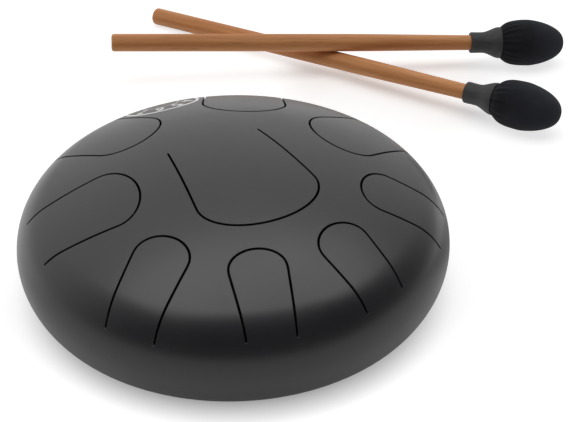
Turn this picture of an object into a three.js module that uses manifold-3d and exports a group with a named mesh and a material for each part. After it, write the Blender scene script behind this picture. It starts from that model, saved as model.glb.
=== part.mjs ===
// A steel tongue drum with its pair of mallets laid behind it.
// Millimetres, +Z up. The drum stands on z = 0 with its crown towards +Z.

import * as THREE from 'three';
import { mergeVertices } from 'three/addons/utils/BufferGeometryUtils.js';
import Module from 'manifold-3d';

// Fits
const clearance = 0.3; // between pieces that touch

// Drum body: two pressed steel shells, welded at the widest place
const drumRadius = 101.5; // at the seam
const domeRise = 45; // crown above the seam
const sideRadius = 28; // the round side, above and below the seam
const baseDepth = 21.6; // flat base below the seam
const baseFillet = 12.7; // round between the side and the flat base
const wall = 1.8;
const weldWidth = 3;
const portRadius = 28; // sound hole in the base

// Tongues: a slot cut round three sides leaves each one joined at its root
const slotWidth = 1;
const frontBearing = -64.7; // degrees, the way the drum's own front looks
// One for each note, seen from above: bearing in degrees from the drum's front, inset of the slot's ends
// from the drum's edge, length from there to the tip, and how far the root lies beside the bearing.
const outerTongues = [
  { bearing: -151, inset: 5.5, length: 48.8, tipWidth: 39.8, rootWidth: 41.3, tipRound: 15.1, lean: -1.5 },
  { bearing: -97, inset: 7.3, length: 49.4, tipWidth: 39.1, rootWidth: 33.8, tipRound: 13.9, lean: -2 },
  { bearing: -53.5, inset: 3.6, length: 41.8, tipWidth: 26.2, rootWidth: 23.5, tipRound: 10.6, lean: 1.3 },
  { bearing: -17, inset: 5.4, length: 37.4, tipWidth: 25.6, rootWidth: 21.6, tipRound: 9.4, lean: 0.9 },
  { bearing: 18.2, inset: 5.4, length: 36.6, tipWidth: 25.8, rootWidth: 22.7, tipRound: 10.3, lean: -2.4 },
  { bearing: 54.2, inset: 3.6, length: 38.5, tipWidth: 27.2, rootWidth: 24.6, tipRound: 10.8, lean: -1.4 },
  { bearing: 95.7, inset: 7.3, length: 46, tipWidth: 40.9, rootWidth: 34.1, tipRound: 15.2, lean: 4.6 },
  { bearing: 148.8, inset: 5.3, length: 47.6, tipWidth: 41.2, rootWidth: 38.6, tipRound: 17, lean: 3.1 },
];
// The lowest note crosses the middle: its tip lies in front of the axis and its root behind
const centreTongue = {
  bearing: 178.7, tipInFront: 46.1, rootBehind: 18.2,
  tipWidth: 58.3, rootWidth: 45.9, tipRound: 19.3, lean: 1,
};

// Feet: rubber bumpers pushed through holes in the base
const footCount = 4;
const footCircle = 68; // radius of the circle they stand on
const footHeight = 5;
const footTopRadius = 7.5;
const footSoleRadius = 6.5;
const footEdge = 1; // bevel round the sole
const footStemRadius = 2.5;
const footBarbRadius = 3.9;
const footBarbHeight = 4;

// Mallets: stations along one are measured from the butt of its stick
const malletLength = 265;
const buttRadius = 5.05;
const buttRound = 1.6;
const taperStart = 140; // the stick is straight up to here
const neckRadius = 4.4; // stick at the sleeve
const tenonRadius = 3.2; // turned down inside the head
const tenonLength = 20;
const tenonChamfer = 0.8;

// Mallet head: a rubber core in a gathered fabric cover
const headRadius = 13.6;
const noseLength = 21; // widest place to the tip
const noseTaper = 1.42; // above 1 the nose tapers sooner than an ellipse
const noseBluntness = 0.8; // below 1 the tip is blunter than an ellipse
const crownLength = 19.8; // widest place back to where the fabric is drawn in
const crownTaper = 0.6; // below 1 the crown tapers later than an ellipse
const coverThickness = 0.9;
const gatherCount = 16;
const gatherDepth = 0.5;
const gatherFade = 17; // the gathers run out over this length from the sleeve
const coverTail = 5.5; // fabric left behind the head, bound to the tenon
const bindingLength = 3.2;
const bindingThickness = 0.6;

// Mallet sleeve: a rubber collar over the joint
const sleeveLength = 17.5;
const sleeveWall = 1.35; // at the stick
const sleeveLip = 0.85; // at the head
const sleeveOverlap = 2.5; // how far the lip reaches over the head
const sleeveFlare = 10.5; // length of the flared part

// How the mallets lie: one on the floor, the other across it. From the drum's axis, headings in degrees.
const crossingX = 58;
const crossingY = 194.8;
const lowerMallet = { name: 'mallet_b', heading: -32.1, crossingStation: 121.5 };
const upperMallet = { name: 'mallet_a', heading: 2.7, crossingStation: 125.6 };

// Facets
const drumSegments = 54;
const capSteps = 6;
const shoulderSteps = 6;
const lowerSideSteps = 4;
const filletSteps = 4;
const tipSteps = 10;
const slotEndSteps = 3;
const footSegments = 16;
const malletSegments = 20;
const roundSteps = 3;
const crownSteps = 4;
const noseSteps = 6;
const flareSteps = 4;
const mergeTolerance = 1e-4;

// Finishes
const coat = { color: 0x2a2b2d, roughness: 0.45, metalness: 0.2 };
const steel = { color: 0x6d6f72, roughness: 0.4, metalness: 0.9 };
const footRubber = { color: 0x161616, roughness: 0.85, metalness: 0 };
const stainedWood = { color: 0x9c6235, roughness: 0.5, metalness: 0 };
const sleeveRubber = { color: 0x3a3a3a, roughness: 0.8, metalness: 0 };
const fabric = { color: 0x18191c, roughness: 0.95, metalness: 0 };
const coreRubber = { color: 0x2f2a26, roughness: 0.9, metalness: 0 };
const thread = { color: 0x0f0f10, roughness: 0.9, metalness: 0 };

// Worked out from the sizes above
const seamHeight = footHeight + baseDepth;
const crownHeight = seamHeight + domeRise;
const sideCentre = drumRadius - sideRadius;
const capRadius = (sideCentre ** 2 + domeRise ** 2 - sideRadius ** 2) / (2 * (domeRise - sideRadius));
const capCentre = crownHeight - capRadius;
const capAngle = Math.atan2(sideCentre, seamHeight - capCentre);
const filletCentreHeight = footHeight + baseFillet;
const filletReach = Math.sqrt((sideRadius - baseFillet) ** 2 - (baseDepth - baseFillet) ** 2);
const filletCentre = sideCentre + filletReach;
const filletAngle = Math.atan2(filletReach, filletCentreHeight - seamHeight);
const footHoleRadius = footStemRadius + clearance;
const bellyStation = malletLength - noseLength;
const sleeveEnd = bellyStation - crownLength + sleeveOverlap;
const sleeveStart = sleeveEnd - sleeveLength;
const coverNeckRadius = tenonRadius + clearance + coverThickness;
const coverStart = bellyStation - crownLength - coverTail;
const tenonStart = coverStart - clearance;
const tenonEnd = tenonStart + tenonLength;
const bindingRadius = coverNeckRadius + clearance + bindingThickness;
const bindingStart = coverStart + (coverTail - bindingLength) / 2;

const wasm = await Module();
wasm.setup();

// Points of an arc in the (radius, height) plane. Angles run from straight up, round to the outside.
function arc(centreRadius, centreHeight, radius, from, to, steps) {
  const points = [];
  for (let i = 0; i <= steps; i++) {
    const turn = from + (to - from) * i / steps;
    const outward = centreRadius + radius * Math.sin(turn);
    points.push(new THREE.Vector2(outward, centreHeight + radius * Math.cos(turn)));
  }
  return points;
}

// A profile of (radius, height) points turned round the Z axis.
function revolve(profile, segments) {
  return new THREE.LatheGeometry(profile, segments).rotateX(Math.PI / 2);
}

function toSolid(geometry) {
  geometry.deleteAttribute('normal');
  geometry.deleteAttribute('uv');
  const merged = mergeVertices(geometry, mergeTolerance);
  const corners = merged.index.array;
  const triVerts = [];
  for (let i = 0; i < corners.length; i += 3) {
    const [a, b, c] = corners.slice(i, i + 3);
    if (a !== b && b !== c && c !== a) triVerts.push(a, b, c);
  }
  const vertProperties = new Float32Array(merged.attributes.position.array);
  const mesh = new wasm.Mesh({ numProp: 3, vertProperties, triVerts: new Uint32Array(triVerts) });
  return new wasm.Manifold(mesh);
}

function toGeometry(solid) {
  const { vertProperties, triVerts } = solid.getMesh();
  const geometry = new THREE.BufferGeometry();
  geometry.setAttribute('position', new THREE.BufferAttribute(vertProperties, 3));
  geometry.setIndex(new THREE.BufferAttribute(triVerts, 1));
  geometry.computeVertexNormals();
  return geometry;
}

function piece(name, geometry, finish) {
  const mesh = new THREE.Mesh(geometry, new THREE.MeshStandardMaterial(finish));
  mesh.name = name;
  return mesh;
}

// Middle line of a tongue's slot: root, side, half-elliptical tip, side, root.
// u runs outwards along the tongue's bearing, v across it.
function slotLine({ tipU, rootU, tipWidth, rootWidth, tipRound, lean }) {
  const line = [new THREE.Vector2(rootU, lean - rootWidth / 2)];
  for (let i = 0; i <= tipSteps; i++) {
    const turn = Math.PI * (i / tipSteps - 0.5);
    const u = tipU + tipRound * (1 - Math.cos(turn));
    line.push(new THREE.Vector2(u, tipWidth / 2 * Math.sin(turn)));
  }
  line.push(new THREE.Vector2(rootU, lean + rootWidth / 2));
  return line;
}

// The slot's outline: its middle line widened to both sides, with round ends.
function slotOutline(line) {
  const half = slotWidth / 2;
  const last = line.length - 1;
  const headingAt = (i) => {
    const before = line[Math.max(i - 1, 0)];
    const after = line[Math.min(i + 1, last)];
    return Math.atan2(after.y - before.y, after.x - before.x);
  };
  const beside = (point, angle) => {
    return new THREE.Vector2(point.x + half * Math.cos(angle), point.y + half * Math.sin(angle));
  };
  const roundEnd = (i, from) => {
    const points = [];
    for (let k = 1; k < slotEndSteps; k++) {
      points.push(beside(line[i], from - Math.PI * k / slotEndSteps));
    }
    return points;
  };
  const left = line.map((point, i) => beside(point, headingAt(i) + Math.PI / 2));
  const right = line.map((point, i) => beside(point, headingAt(i) - Math.PI / 2));
  return [
    ...left,
    ...roundEnd(last, headingAt(last) + Math.PI / 2),
    ...right.reverse(),
    ...roundEnd(0, headingAt(0) - Math.PI / 2),
  ];
}

// A slot as an upright prism that passes through the dome and stops short of the seam.
function slotCutter(tongue, bearing) {
  const bottom = seamHeight + weldWidth / 2;
  const shape = new THREE.Shape(slotOutline(slotLine(tongue)));
  const options = { depth: crownHeight + wall - bottom, bevelEnabled: false, steps: 1 };
  const geometry = new THREE.ExtrudeGeometry(shape, options);
  return geometry.translate(0, 0, bottom).rotateZ(THREE.MathUtils.degToRad(bearing));
}

// Struck half of the drum: a shallow dome with a round shoulder, cut by nine slots.
function upperShell() {
  const rimAt = (radius) => Math.acos(weldWidth / 2 / radius);
  const inside = sideRadius - wall;
  const profile = [
    ...arc(0, capCentre, capRadius, 0, capAngle, capSteps),
    ...arc(sideCentre, seamHeight, sideRadius, capAngle, rimAt(sideRadius), shoulderSteps).slice(1),
    ...arc(sideCentre, seamHeight, inside, rimAt(inside), capAngle, shoulderSteps),
    ...arc(0, capCentre, capRadius - wall, capAngle, 0, capSteps).slice(1),
  ];
  let shell = toSolid(revolve(profile.reverse(), drumSegments));
  for (const { bearing, inset, length, ...widths } of outerTongues) {
    const root = drumRadius - inset;
    const rootU = Math.sqrt(root ** 2 - (widths.rootWidth / 2) ** 2);
    shell = shell.subtract(toSolid(slotCutter({ tipU: root - length, rootU, ...widths }, bearing)));
  }
  const { bearing, tipInFront, rootBehind, ...widths } = centreTongue;
  const middle = { tipU: -tipInFront, rootU: rootBehind, ...widths };
  return toGeometry(shell.subtract(toSolid(slotCutter(middle, bearing))));
}

// Places of the feet on the base.
function footPlaces() {
  return Array.from({ length: footCount }, (_, i) => {
    const bearing = 2 * Math.PI * (i + 0.5) / footCount;
    return new THREE.Vector2(footCircle * Math.cos(bearing), footCircle * Math.sin(bearing));
  });
}

// Lower half: a round side into a flat base with the sound hole and the holes for the feet.
function lowerShell() {
  const rimAt = (radius) => Math.acos(-weldWidth / 2 / radius);
  const side = (radius) => arc(sideCentre, seamHeight, radius, rimAt(radius), filletAngle, lowerSideSteps);
  const fillet = (radius) => {
    return arc(filletCentre, filletCentreHeight, radius, filletAngle, Math.PI, filletSteps).slice(1);
  };
  const outside = [...side(sideRadius), ...fillet(baseFillet)];
  const inside = [...side(sideRadius - wall), ...fillet(baseFillet - wall)];
  const profile = [
    ...outside,
    new THREE.Vector2(portRadius, footHeight),
    new THREE.Vector2(portRadius, footHeight + wall),
    ...inside.reverse(),
    outside[0].clone(),
  ];
  let shell = toSolid(revolve(profile.reverse(), drumSegments));
  const holeLength = 4 * wall;
  for (const { x, y } of footPlaces()) {
    const hole = new THREE.CylinderGeometry(footHoleRadius, footHoleRadius, holeLength, footSegments);
    hole.rotateX(Math.PI / 2).translate(x, y, footHeight + wall / 2);
    shell = shell.subtract(toSolid(hole));
  }
  return toGeometry(shell);
}

// The weld that joins the two rims, ground flush with the side.
function seamWeld() {
  const half = weldWidth / 2;
  const rim = (radius) => sideCentre + Math.sqrt(radius ** 2 - half ** 2);
  const profile = [
    new THREE.Vector2(rim(sideRadius - wall), seamHeight - half),
    new THREE.Vector2(rim(sideRadius), seamHeight - half),
    new THREE.Vector2(drumRadius, seamHeight),
    new THREE.Vector2(rim(sideRadius), seamHeight + half),
    new THREE.Vector2(rim(sideRadius - wall), seamHeight + half),
  ];
  return revolve([...profile, profile[0].clone()], drumSegments);
}

// One bumper: a tapered pad, a stem through the base and a barb that holds it from inside.
function foot() {
  const seat = footHeight + wall;
  const profile = [
    new THREE.Vector2(0, 0),
    new THREE.Vector2(footSoleRadius - footEdge, 0),
    new THREE.Vector2(footSoleRadius, footEdge),
    new THREE.Vector2(footTopRadius, footHeight),
    new THREE.Vector2(footStemRadius, footHeight),
    new THREE.Vector2(footStemRadius, seat),
    new THREE.Vector2(footBarbRadius, seat),
    new THREE.Vector2(footStemRadius, seat + footBarbHeight),
    new THREE.Vector2(0, seat + footBarbHeight),
  ];
  return revolve(profile, footSegments);
}

// Round wooden stick with a rounded butt, drawn in towards the head, with a tenon for the core.
function stick() {
  const profile = [
    new THREE.Vector2(0, 0),
    ...arc(buttRadius - buttRound, buttRound, buttRound, Math.PI, Math.PI / 2, roundSteps),
    new THREE.Vector2(buttRadius, taperStart),
    new THREE.Vector2(neckRadius, sleeveStart),
    new THREE.Vector2(neckRadius, tenonStart),
    new THREE.Vector2(tenonRadius, tenonStart),
    new THREE.Vector2(tenonRadius, tenonEnd - tenonChamfer),
    new THREE.Vector2(tenonRadius - tenonChamfer, tenonEnd),
    new THREE.Vector2(0, tenonEnd),
  ];
  return revolve(profile, malletSegments);
}

// Where the head's blunt back, or an even inset of it, stands at a turn from its widest place.
function crownPoint(inset, turn) {
  const length = (crownLength - inset) * Math.sin(turn) ** crownTaper;
  return new THREE.Vector2((headRadius - inset) * Math.cos(turn), bellyStation - length);
}

// The egg outline of the head, or an even inset of it, from a neck of this radius to the tip.
function headOutline(inset, neck) {
  const neckTurn = Math.acos(neck / (headRadius - inset));
  const points = [];
  for (let i = 0; i <= crownSteps; i++) {
    points.push(crownPoint(inset, neckTurn * (1 - i / crownSteps)));
  }
  for (let i = 1; i < noseSteps; i++) {
    const turn = Math.PI / 2 * i / noseSteps;
    const radius = (headRadius - inset) * Math.cos(turn) ** noseBluntness;
    const length = (noseLength - inset) * Math.sin(turn) ** noseTaper;
    points.push(new THREE.Vector2(radius, bellyStation + length));
  }
  points.push(new THREE.Vector2(0, malletLength - inset));
  return points;
}

// Egg of rubber with a blind bore for the tenon.
function headCore() {
  const boreEnd = tenonEnd + clearance;
  const bore = tenonRadius + clearance;
  const profile = [
    new THREE.Vector2(0, boreEnd),
    new THREE.Vector2(bore, boreEnd),
    ...headOutline(coverThickness + clearance, bore),
  ];
  return revolve(profile, malletSegments);
}

// Fabric bag over the core, drawn in round the tenon. Every other line of points is sunk, and the
// gathers so made run out towards the widest place.
function headCover() {
  const inside = headOutline(coverThickness, coverNeckRadius - coverThickness).reverse();
  const outside = headOutline(0, coverNeckRadius);
  const profile = [
    ...inside,
    new THREE.Vector2(coverNeckRadius - coverThickness, coverStart),
    new THREE.Vector2(coverNeckRadius, coverStart),
    ...outside,
  ];
  const firstOutside = inside.length + 1;
  const geometry = revolve(profile, 2 * gatherCount);
  const places = geometry.attributes.position;
  for (let line = 1; line < 2 * gatherCount; line += 2) {
    for (let j = firstOutside; j < profile.length - 1; j++) {
      const { x: radius, y: station } = profile[j];
      const faded = THREE.MathUtils.smoothstep(station, sleeveEnd, sleeveEnd + gatherFade);
      const depth = gatherDepth * (1 - faded);
      const share = (radius - depth) / radius;
      const k = line * profile.length + j;
      places.setXY(k, places.getX(k) * share, places.getY(k) * share);
    }
  }
  return geometry;
}

// Thread wound round the fabric's tail.
function coverBinding() {
  const inner = coverNeckRadius + clearance;
  const profile = [
    new THREE.Vector2(inner, bindingStart),
    new THREE.Vector2(bindingRadius, bindingStart),
    new THREE.Vector2(bindingRadius, bindingStart + bindingLength),
    new THREE.Vector2(inner, bindingStart + bindingLength),
  ];
  return revolve([...profile, profile[0].clone()], malletSegments);
}

// Rubber collar: straight on the stick, hollow round the binding, flared over the back of the head.
function sleeve() {
  const tight = neckRadius + clearance;
  const hollow = bindingRadius + clearance;
  const hollowTurn = Math.acos(hollow / (headRadius + clearance));
  const lipShare = (bellyStation - sleeveEnd) / (crownLength + clearance);
  const lipTurn = Math.asin(lipShare ** (1 / crownTaper));
  const mouth = [];
  for (let i = 0; i <= flareSteps; i++) {
    mouth.push(crownPoint(-clearance, hollowTurn + (lipTurn - hollowTurn) * i / flareSteps));
  }
  const straight = tight + sleeveWall;
  const lip = mouth[flareSteps].x + sleeveLip;
  const outside = [];
  for (let i = 0; i <= flareSteps; i++) {
    const share = 1 - i / flareSteps;
    const radius = straight + (lip - straight) * (1 - Math.cos(Math.PI * share)) / 2;
    outside.push(new THREE.Vector2(radius, sleeveEnd - sleeveFlare * (1 - share)));
  }
  const profile = [
    new THREE.Vector2(straight, sleeveStart),
    new THREE.Vector2(tight, sleeveStart),
    new THREE.Vector2(tight, tenonStart),
    new THREE.Vector2(hollow, tenonStart),
    ...mouth,
    ...outside,
  ];
  return revolve([...profile, profile[0].clone()].reverse(), malletSegments);
}

// One mallet along +Z from its butt, laid down so that its axis has this height at this station.
function mallet({ name, heading, crossingStation }, tilt, crossingHeight) {
  const group = new THREE.Group();
  group.add(
    piece(`${name}_stick`, stick(), stainedWood),
    piece(`${name}_core`, headCore(), coreRubber),
    piece(`${name}_cover`, headCover(), fabric),
    piece(`${name}_binding`, coverBinding(), thread),
    piece(`${name}_sleeve`, sleeve(), sleeveRubber),
  );
  group.rotation.set(0, Math.PI / 2 - tilt, THREE.MathUtils.degToRad(heading), 'ZYX');
  const toCrossing = new THREE.Vector3(0, 0, crossingStation).applyEuler(group.rotation);
  group.position.set(crossingX, crossingY, crossingHeight).sub(toCrossing);
  return group;
}

// The lower mallet rests on its butt and its head, the upper one on the lower stick and its own head.
function restingMallets() {
  const lowerTilt = Math.asin((headRadius - buttRadius) / (bellyStation - buttRound));
  const rise = (lowerMallet.crossingStation - buttRound) * Math.sin(lowerTilt);
  const lowerHeight = buttRadius + rise;
  const upperHeight = lowerHeight + 2 * buttRadius + clearance;
  const drop = upperHeight - headRadius;
  const upperTilt = -Math.asin(drop / (bellyStation - upperMallet.crossingStation));
  return [
    mallet(lowerMallet, lowerTilt, lowerHeight),
    mallet(upperMallet, upperTilt, upperHeight),
  ];
}

function drum() {
  const group = new THREE.Group();
  group.add(
    piece('upper_shell', upperShell(), coat),
    piece('lower_shell', lowerShell(), coat),
    piece('seam_weld', seamWeld(), steel),
  );
  footPlaces().forEach(({ x, y }, i) => {
    const bumper = piece(`foot_${i + 1}`, foot(), footRubber);
    bumper.position.set(x, y, 0);
    group.add(bumper);
  });
  group.rotation.z = THREE.MathUtils.degToRad(frontBearing);
  return group;
}

// The whole set, with the origin under the middle of its box
const set = new THREE.Group();
set.add(drum(), ...restingMallets());
set.updateMatrixWorld(true);
const box = new THREE.Box3().setFromObject(set, true);
const middle = box.getCenter(new THREE.Vector3());
set.position.set(-middle.x, -middle.y, -box.min.z);

export default set;
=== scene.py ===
"""A steel tongue drum and its two padded mallets, dressed for rendering.

Sizes are in millimetres, as in the part's source. Meshes are in metres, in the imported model's frame.
"""

import math

import bmesh
import bpy
import numpy as np
from mathutils import Matrix, Vector
from mathutils.geometry import delaunay_2d_cdt
from mathutils.kdtree import KDTree


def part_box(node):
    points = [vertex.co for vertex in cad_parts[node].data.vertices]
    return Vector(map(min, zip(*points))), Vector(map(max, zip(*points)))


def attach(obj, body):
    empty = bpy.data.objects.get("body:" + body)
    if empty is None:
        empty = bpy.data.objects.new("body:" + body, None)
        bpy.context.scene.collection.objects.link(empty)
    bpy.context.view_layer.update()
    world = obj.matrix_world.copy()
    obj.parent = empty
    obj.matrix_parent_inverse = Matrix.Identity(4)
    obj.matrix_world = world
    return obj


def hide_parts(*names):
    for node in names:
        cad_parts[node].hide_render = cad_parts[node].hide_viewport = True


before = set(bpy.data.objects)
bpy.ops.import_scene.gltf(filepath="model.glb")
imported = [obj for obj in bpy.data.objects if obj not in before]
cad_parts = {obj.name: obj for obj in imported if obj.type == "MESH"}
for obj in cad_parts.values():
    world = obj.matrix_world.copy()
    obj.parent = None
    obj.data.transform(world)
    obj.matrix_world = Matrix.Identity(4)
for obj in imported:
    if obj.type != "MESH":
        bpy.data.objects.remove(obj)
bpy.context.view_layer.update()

MM = 0.001
TINY = 1e-6

# Drum body
DRUM_RADIUS = 101.5
DOME_RISE = 45.0
SIDE_RADIUS = 28.0
BASE_DEPTH = 21.6
BASE_FILLET = 12.7
WALL = 1.8
WELD_WIDTH = 3.0
PORT_RADIUS = 28.0
FRONT_BEARING = -64.7

# Tongues: bearing from the drum's front, inset of the root from the edge, length, width at the tip and at the
# root, depth of the round tip, and how far the root lies beside the bearing
SLOT_WIDTH = 1.0
SLOT_EDGE = 0.18  # radius of the coated edge of every cut
SLOT_EDGE_TILTS = (30, 60, 90)  # the rows of points on that edge, in degrees
OUTER_TONGUES = (
    (-151.0, 5.5, 48.8, 39.8, 41.3, 15.1, -1.5),
    (-97.0, 7.3, 49.4, 39.1, 33.8, 13.9, -2.0),
    (-53.5, 3.6, 41.8, 26.2, 23.5, 10.6, 1.3),
    (-17.0, 5.4, 37.4, 25.6, 21.6, 9.4, 0.9),
    (18.2, 5.4, 36.6, 25.8, 22.7, 10.3, -2.4),
    (54.2, 3.6, 38.5, 27.2, 24.6, 10.8, -1.4),
    (95.7, 7.3, 46.0, 40.9, 34.1, 15.2, 4.6),
    (148.8, 5.3, 47.6, 41.2, 38.6, 17.0, 3.1),
)
CENTRE_TONGUE = (178.7, 46.1, 18.2, 58.3, 45.9, 19.3, 1.0)  # bearing, tip in front, root behind, and so on

# Feet
FOOT_COUNT = 4
FOOT_CIRCLE = 68.0
FOOT_HEIGHT = 5.0
FOOT_TOP = 7.5
FOOT_TOP_ROUND = 0.5
FOOT_SOLE = 6.5
FOOT_EDGE = 1.0
FOOT_DISH = 0.25  # hollow in the sole, between these insets from its edge
FOOT_DISH_INNER = 2.4
FOOT_DISH_OUTER = 2.1
FOOT_STEM = 2.5
FOOT_BARB = 3.9
FOOT_BARB_HEIGHT = 4.0
FOOT_TIP_INSET = 0.2
FOOT_TIP_TAPER = 0.6
CLEARANCE = 0.3

# Mallets, with stations from the butt of the stick
MALLET_LENGTH = 265.0
BUTT_RADIUS = 5.05
BUTT_ROUND = 1.6
TAPER_START = 140.0
NECK_RADIUS = 4.4
TENON_RADIUS = 3.2
TENON_LENGTH = 20.0
TENON_CHAMFER = 0.8
HEAD_RADIUS = 13.6
NOSE_LENGTH = 21.0
NOSE_TAPER = 1.42
NOSE_BLUNTNESS = 0.8
CROWN_LENGTH = 19.8
CROWN_TAPER = 0.6
COVER_THICKNESS = 0.9
COVER_TAIL = 5.5
COVER_SLACK = 0.5
COVER_MERGE = 0.01  # closes the cloth's seam and its nose
GATHERS = 22
GATHER_DEPTH = 0.75
GATHER_FADE = 18.0
BINDING_LENGTH = 3.2
BINDING_THICKNESS = 0.6
BINDING_TURNS = 5.0
SLEEVE_LENGTH = 17.5
SLEEVE_WALL = 1.35
SLEEVE_LIP = 0.85
SLEEVE_LIP_ROUND = 0.4
SLEEVE_LIP_INSET = 0.1
SLEEVE_OVERLAP = 2.5
SLEEVE_FLARE = 10.5
SLEEVE_FIT = 0.06  # the stretched collar presses on the cloth
SLEEVE_END_ROUND = 0.5
SLEEVE_END_INSET = 0.7  # from its back end to its plain side
PUCKER_DEPTH = 0.16
PUCKER_INSET = 0.4  # the back end itself stays round
CREASE_DEPTH = 0.06
CROSSING = (58.0, 194.8)  # from the drum's axis
LOWER_MALLET = ("mallet_b", -32.1, 121.5, 3.5)  # name, heading, station at the crossing, seed of its folds
UPPER_MALLET = ("mallet_a", 2.7, 125.6, 5.0)

# A plain numbered ring printed on the back of the dome, one number for each tongue
DIAL_RADIUS = 19.5
DIAL_LINE = 1.5
DIAL_INNER = 9.6
DIAL_INNER_LINE = 0.5
FIGURE_HEIGHT = 6.4
FIGURE_LINE = 1.2
FIGURE_RADIUS = 13.8
DIAL_LENGTH = 89.5  # along the profile from the crown
DIAL_BEARING = 179.1
PRINT_LIFT = 0.02
PRINT_THICKNESS = 0.05

# Fineness of the meshes
RIM_POINTS = 360  # the same on both shells and the weld
ARC_POINTS = 500  # along each arc of a sheet's profile
FLAT_POINTS = 50
DOME_SPACING = 2.0
DISH_SPACING = 2.6
EDGE_GAP = 0.7  # kept free along every edge, in spacings
SHEET_MERGE = 1e-7
PORT_POINTS = 160
STEM_HOLE_POINTS = 28
SLOT_STEP = 1.0
LONG_SEGMENTS = 96  # round the stick and the collar
SHORT_SEGMENTS = 48  # round a foot and the core
SHARP_ANGLE = 35.0
DIAL_POINTS = 144
OVAL_POINTS = 49
PEN_STEP = 0.5
PRINT_MERGE = 1e-5

# Worked out from the sizes above
SEAM = FOOT_HEIGHT + BASE_DEPTH
CROWN = SEAM + DOME_RISE
SIDE_CENTRE = DRUM_RADIUS - SIDE_RADIUS
CAP_RADIUS = (SIDE_CENTRE**2 + DOME_RISE**2 - SIDE_RADIUS**2) / (2 * (DOME_RISE - SIDE_RADIUS))
CAP_ANGLE = math.atan2(SIDE_CENTRE, SEAM - CROWN + CAP_RADIUS)
FILLET_HEIGHT = FOOT_HEIGHT + BASE_FILLET
FILLET_REACH = math.sqrt((SIDE_RADIUS - BASE_FILLET) ** 2 - (BASE_DEPTH - BASE_FILLET) ** 2)
FILLET_ANGLE = math.atan2(FILLET_REACH, FILLET_HEIGHT - SEAM)
RIM_ANGLE = math.acos(WELD_WIDTH / 2 / SIDE_RADIUS)
BELLY = MALLET_LENGTH - NOSE_LENGTH
SLEEVE_END = BELLY - CROWN_LENGTH + SLEEVE_OVERLAP
SLEEVE_START = SLEEVE_END - SLEEVE_LENGTH
COVER_NECK = TENON_RADIUS + CLEARANCE + COVER_THICKNESS
COVER_START = BELLY - CROWN_LENGTH - COVER_TAIL
TENON_START = COVER_START - CLEARANCE
TENON_END = TENON_START + TENON_LENGTH
BINDING_RADIUS = COVER_NECK + CLEARANCE + BINDING_THICKNESS
BINDING_START = COVER_START + (COVER_TAIL - BINDING_LENGTH) / 2

weld_low, weld_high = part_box("seam_weld")
DRUM_AXIS = ((weld_low + weld_high) / 2).xy  # where the drum's axis meets the floor, in metres


def linked(name, data):
    """A new object in the scene."""
    made = bpy.data.objects.new(name, data)
    bpy.context.scene.collection.objects.link(made)
    return made


def photo_camera():
    """The camera that was fitted to the photograph's outline of the drum and its slots."""
    focal_share = 1500 / 569  # focal length over the picture's width
    distance = 0.7092
    elevation = math.radians(36.66)
    yaw, pitch, roll = 0.0341, -0.0155, 0.02637
    data = bpy.data.cameras.new("photo_camera")
    data.sensor_width = 36.0
    data.lens = focal_share * data.sensor_width
    data.clip_start = 0.01
    camera = linked("photo_camera", data)
    turn = Matrix.Rotation(math.pi / 2 - elevation, 4, "X") @ Matrix.Rotation(-yaw, 4, "Y")
    turn = turn @ Matrix.Rotation(-pitch, 4, "X") @ Matrix.Rotation(-roll, 4, "Z")
    aim = Vector((*DRUM_AXIS, SEAM * MM))
    back = Vector((0, -math.cos(elevation), math.sin(elevation))) * distance
    camera.matrix_world = Matrix.Translation(aim + back) @ turn
    bpy.context.scene.camera = camera


photo_camera()
bpy.context.scene.view_settings.view_transform = "Standard"


class Wire:
    """A node's output socket. Sums of wires and numbers add Math nodes; node() adds any other kind."""

    def __init__(self, socket):
        self.socket = socket
        self.tree = socket.id_data

    @staticmethod
    def node(tree, kind, settings=None, sockets=None, out=0):
        """Adds a node: settings first, then its sockets' values or links. Gives one output, if it has any."""
        made = tree.nodes.new(kind)
        for key, value in (settings or {}).items():
            setattr(made, key, value)
        for key, value in (sockets or {}).items():
            end = Wire.find(made.inputs, key)
            if isinstance(value, Wire):
                tree.links.new(value.socket, end)
            else:
                end.default_value = value
        return Wire(Wire.find(made.outputs, out)) if made.outputs else None

    @staticmethod
    def find(sockets, key):
        """A socket by its number, or by its name among those in use."""
        if isinstance(key, int):
            return sockets[key]
        return next(s for s in sockets if s.enabled and s.name == key)

    def other(self, name):
        """Another output of the same node."""
        return Wire(Wire.find(self.socket.node.outputs, name))

    def math(self, operation, *values):
        return self._joined(operation, self, *values)

    def _joined(self, operation, *values):
        return Wire.node(self.tree, "ShaderNodeMath", {"operation": operation}, dict(enumerate(values)))

    def __add__(self, value):
        return self._joined("ADD", self, value)

    def __sub__(self, value):
        return self._joined("SUBTRACT", self, value)

    def __rsub__(self, value):
        return self._joined("SUBTRACT", value, self)

    def __mul__(self, value):
        return self._joined("MULTIPLY", self, value)

    def __truediv__(self, value):
        return self._joined("DIVIDE", self, value)

    def __rtruediv__(self, value):
        return self._joined("DIVIDE", value, self)

    def __pow__(self, value):
        return self._joined("POWER", self, value)

    __radd__ = __add__
    __rmul__ = __mul__

    def smooth(self, low, high):
        """0 below low, 1 above high, and a smooth step between."""
        settings = {"interpolation_type": "SMOOTHSTEP"}
        sockets = {"Value": self, "From Min": low, "From Max": high}
        return Wire.node(self.tree, "ShaderNodeMapRange", settings, sockets)


def new_material(name):
    made = bpy.data.materials.new(name)
    made.use_nodes = True
    made.node_tree.nodes.clear()
    return made, made.node_tree


def finish_material(made, sockets):
    """Ends a material in a Principled shader with these values or links."""
    shader = Wire.node(made.node_tree, "ShaderNodeBsdfPrincipled", {}, sockets)
    Wire.node(made.node_tree, "ShaderNodeOutputMaterial", {}, {"Surface": shader})
    return made


def grey(level):
    return (level, level, level, 1)


def object_place(tree):
    return Wire.node(tree, "ShaderNodeTexCoord", out="Object")


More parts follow.
